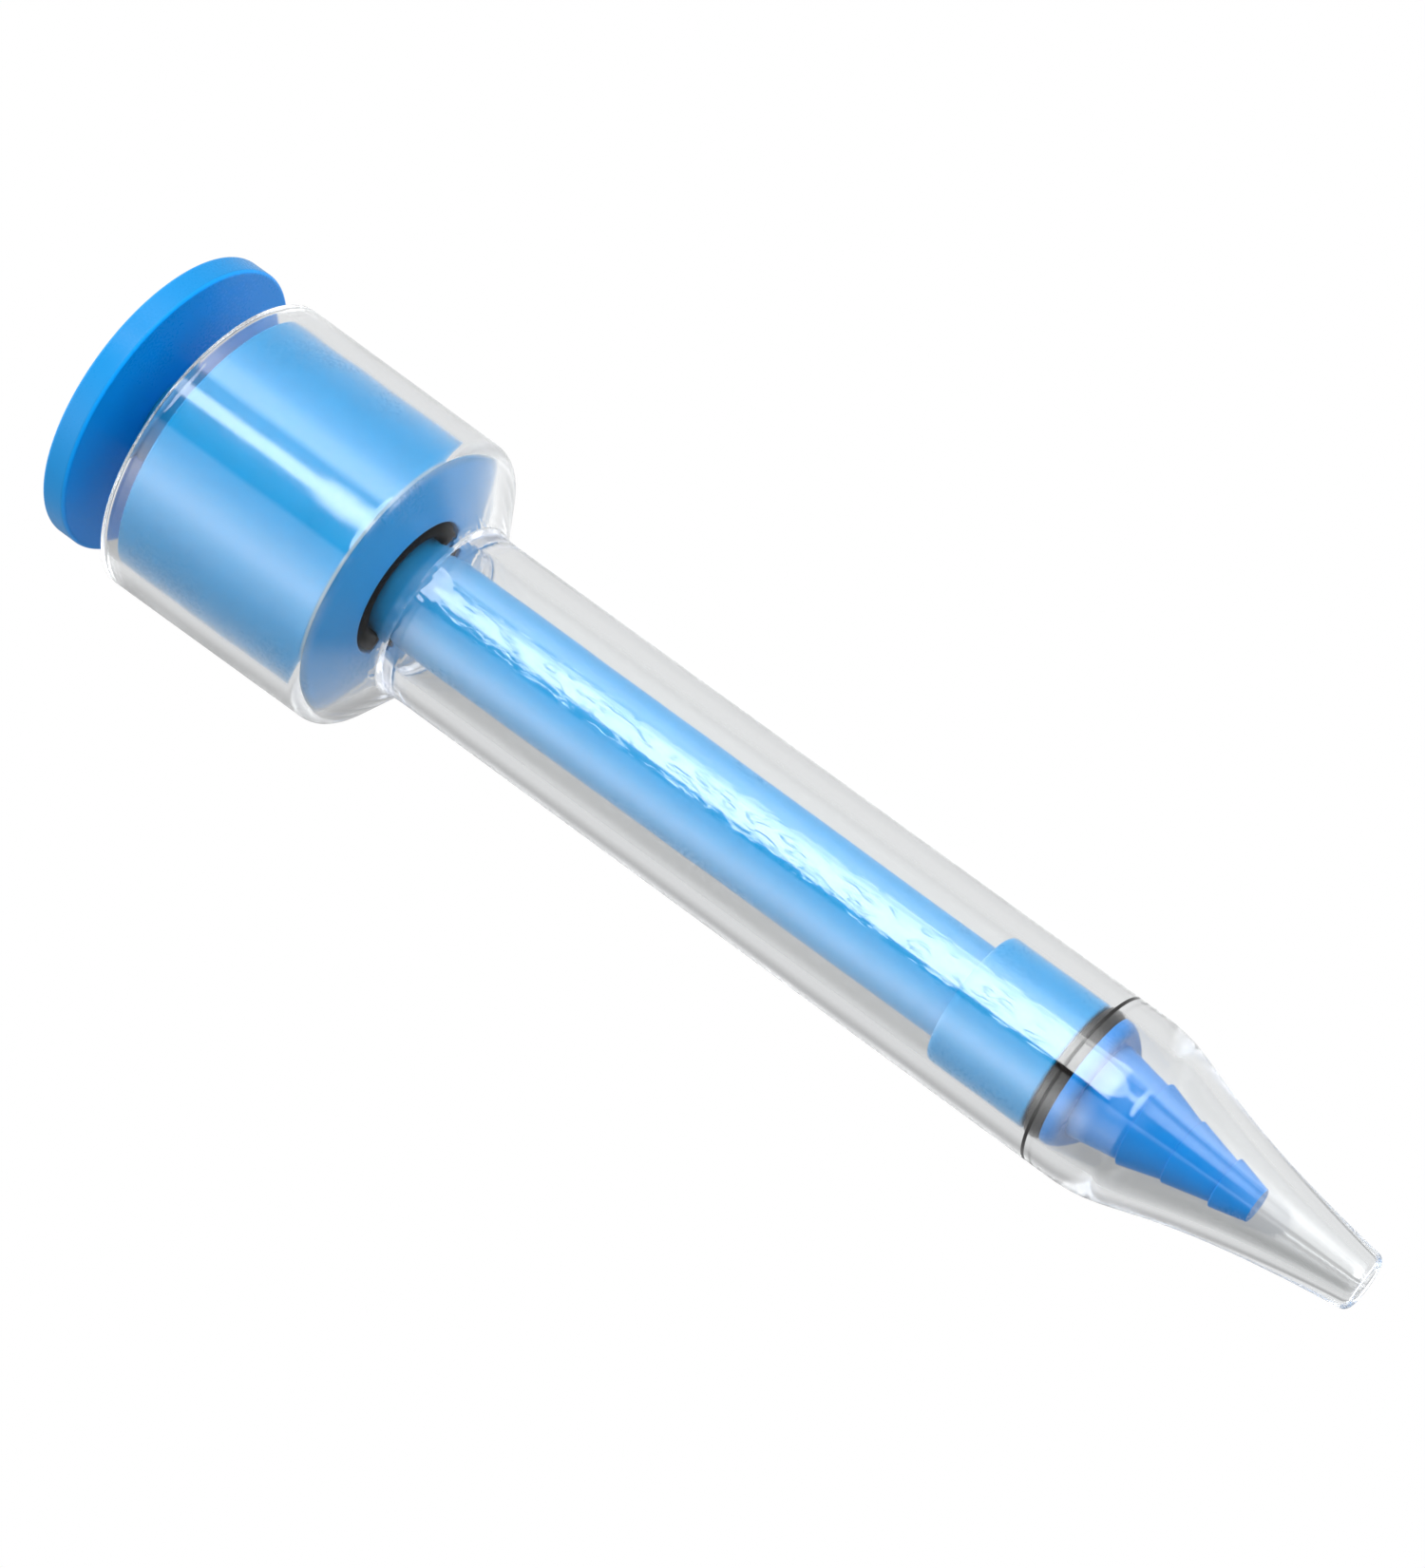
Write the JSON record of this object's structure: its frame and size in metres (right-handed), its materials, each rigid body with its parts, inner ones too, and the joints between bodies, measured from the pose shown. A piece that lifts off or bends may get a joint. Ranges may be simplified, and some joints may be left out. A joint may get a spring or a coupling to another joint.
{
  "type": "desoldering pump",
  "caption": "Hand desoldering pump: clear stepped barrel with a tapered nozzle, and a blue sliding plunger with thumb disc, sealed piston and barbed nose.",
  "frame": {"origin": "centre of the thumb disc's flat rear face, which the pump stands on", "axes": "+Z along the axis of revolution, from the thumb disc up to the nozzle; X and Y are alike"},
  "size_m": [0.0284, 0.0284, 0.1267],
  "materials": {
    "clear_plastic": "water-clear polished acrylic, moulded and solvent-cemented",
    "blue_plastic": "bright blue moulded plastic, satin gloss",
    "black_rubber": "black nitrile rubber, lightly greased"
  },
  "bodies": {
    "barrel": {"rear_chamber": "clear_plastic", "nozzle_tube": "clear_plastic", "cement_bead": "clear_plastic", "guide_plug": "blue_plastic", "rod_seal": "black_rubber"},
    "plunger": {"thumb_disc": "blue_plastic", "plunger_rod": "blue_plastic", "piston_head": "blue_plastic", "piston_o_ring": "black_rubber", "barbed_nose": "blue_plastic"}
  },
  "joints": [
    {"name": "plunger_slide", "type": "slide", "parent": "barrel", "child": "plunger", "axis": [0, 0, -1], "range_m": [-0.004, 0.059]}
  ]
}
